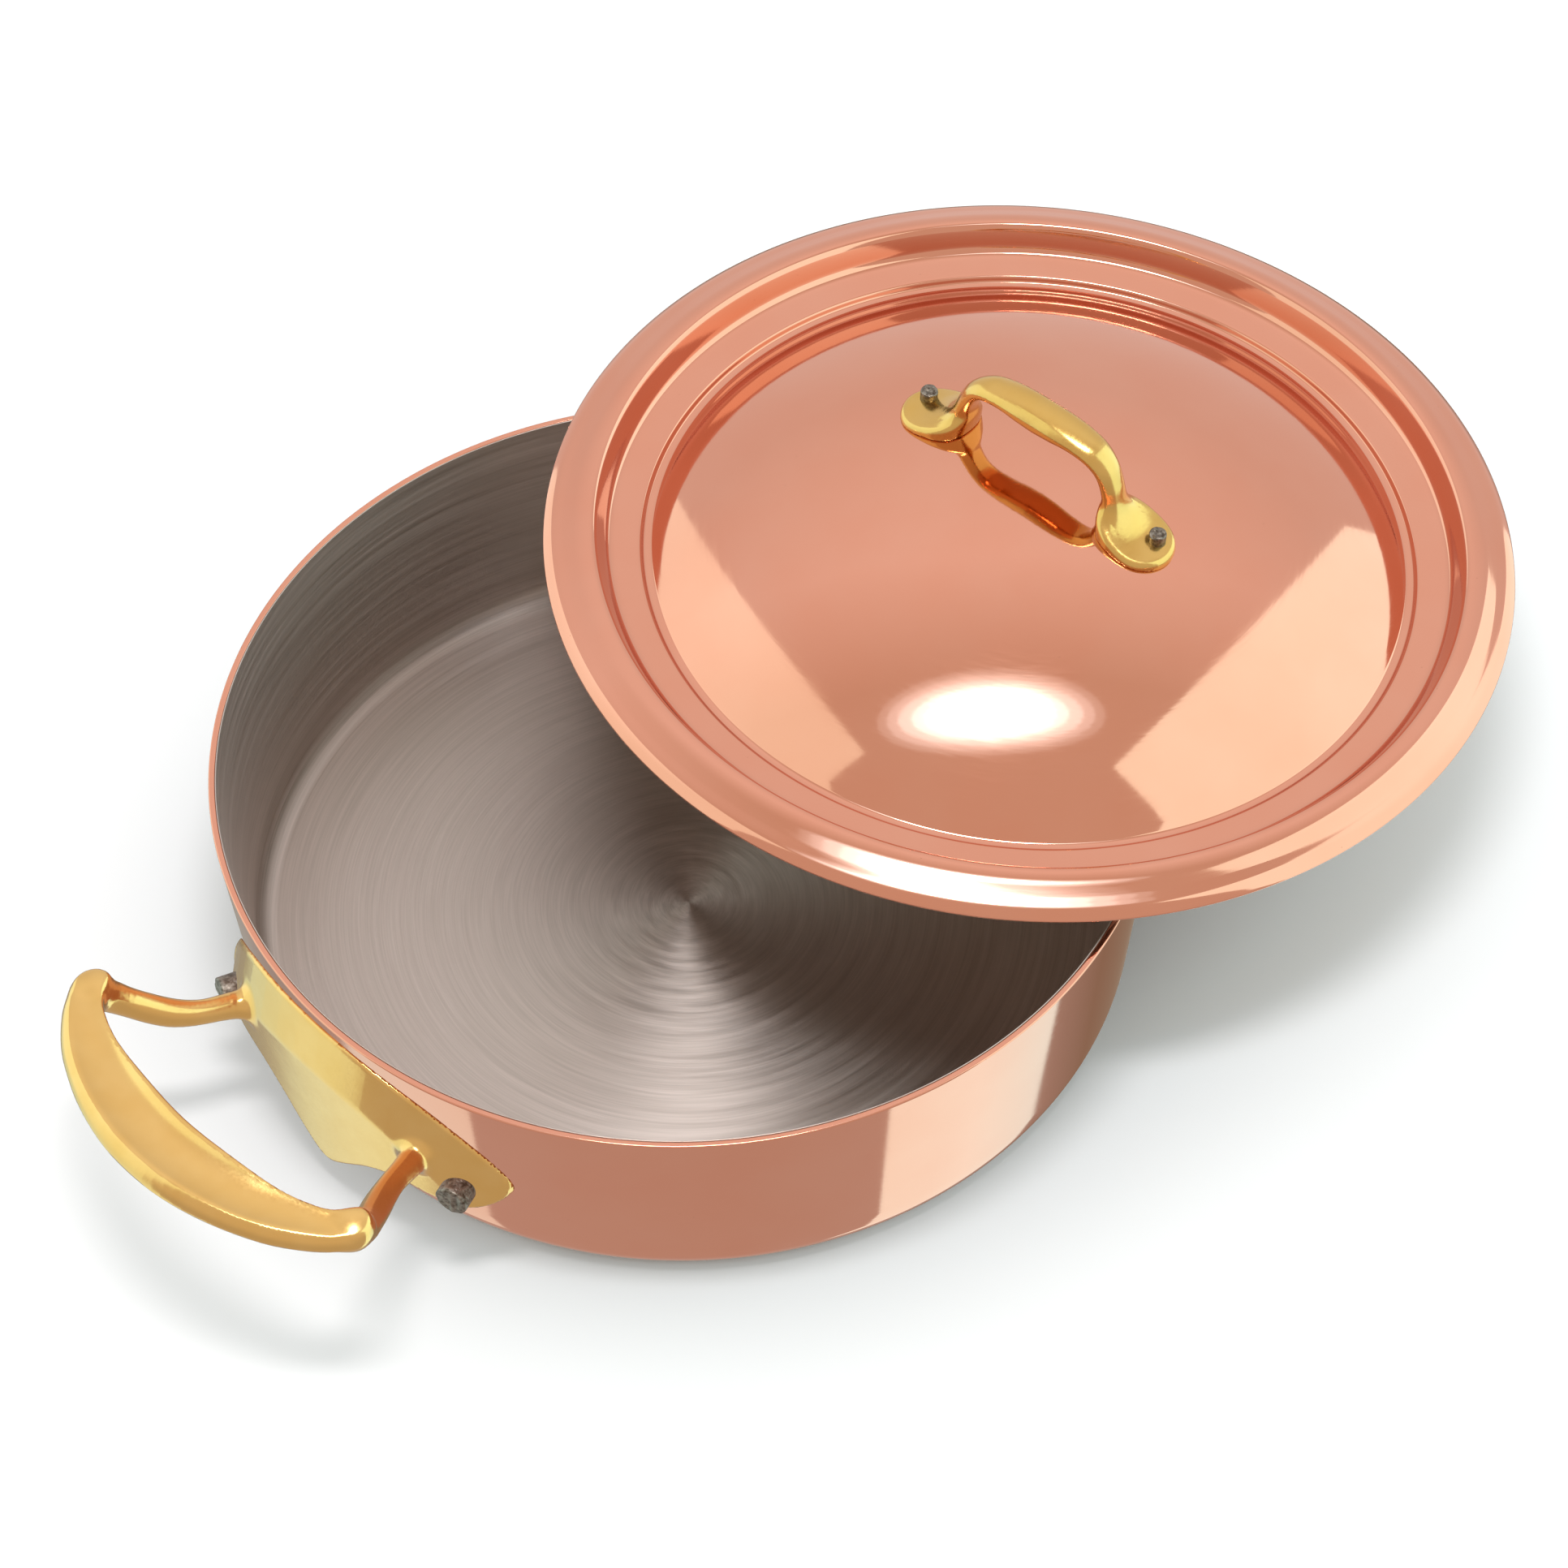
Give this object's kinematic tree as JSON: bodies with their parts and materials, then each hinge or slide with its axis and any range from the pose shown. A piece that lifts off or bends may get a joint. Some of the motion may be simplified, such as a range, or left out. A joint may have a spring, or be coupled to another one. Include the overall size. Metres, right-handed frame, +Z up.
{
  "type": "copper saute pan with lid",
  "caption": "Shallow round copper pan with a steel lining, brass loop handles riveted to its wall, and a domed copper lid with a brass strap handle parked ajar on the rim.",
  "frame": {"origin": "centre of the underside of the pan's base", "axes": "+Z up through the pan's mouth, side handles along X; the parked lid lies towards +X"},
  "size_m": [0.4245, 0.2616, 0.1191],
  "materials": {
    "copper": "polished copper",
    "lining_steel": "brushed in circles",
    "handle_brass": "polished cast brass",
    "rivet_steel": "dull, hammered"
  },
  "bodies": {
    "pan": {"pan_body": "copper", "pan_lining": "lining_steel", "side_handle_right": "handle_brass", "side_handle_left": "handle_brass", "side_rivet_right_front": "rivet_steel", "side_rivet_right_rear": "rivet_steel", "side_rivet_left_front": "rivet_steel", "side_rivet_left_rear": "rivet_steel"},
    "lid": {"lid_shell": "copper", "lid_lining": "lining_steel", "lid_handle": "handle_brass", "lid_rivet_front": "rivet_steel", "lid_rivet_rear": "rivet_steel"}
  },
  "joints": [
    {"name": "lid_lift", "type": "slide", "parent": "pan", "child": "lid", "axis": [0, 0, 1], "range_m": [0, 0.15]}
  ]
}
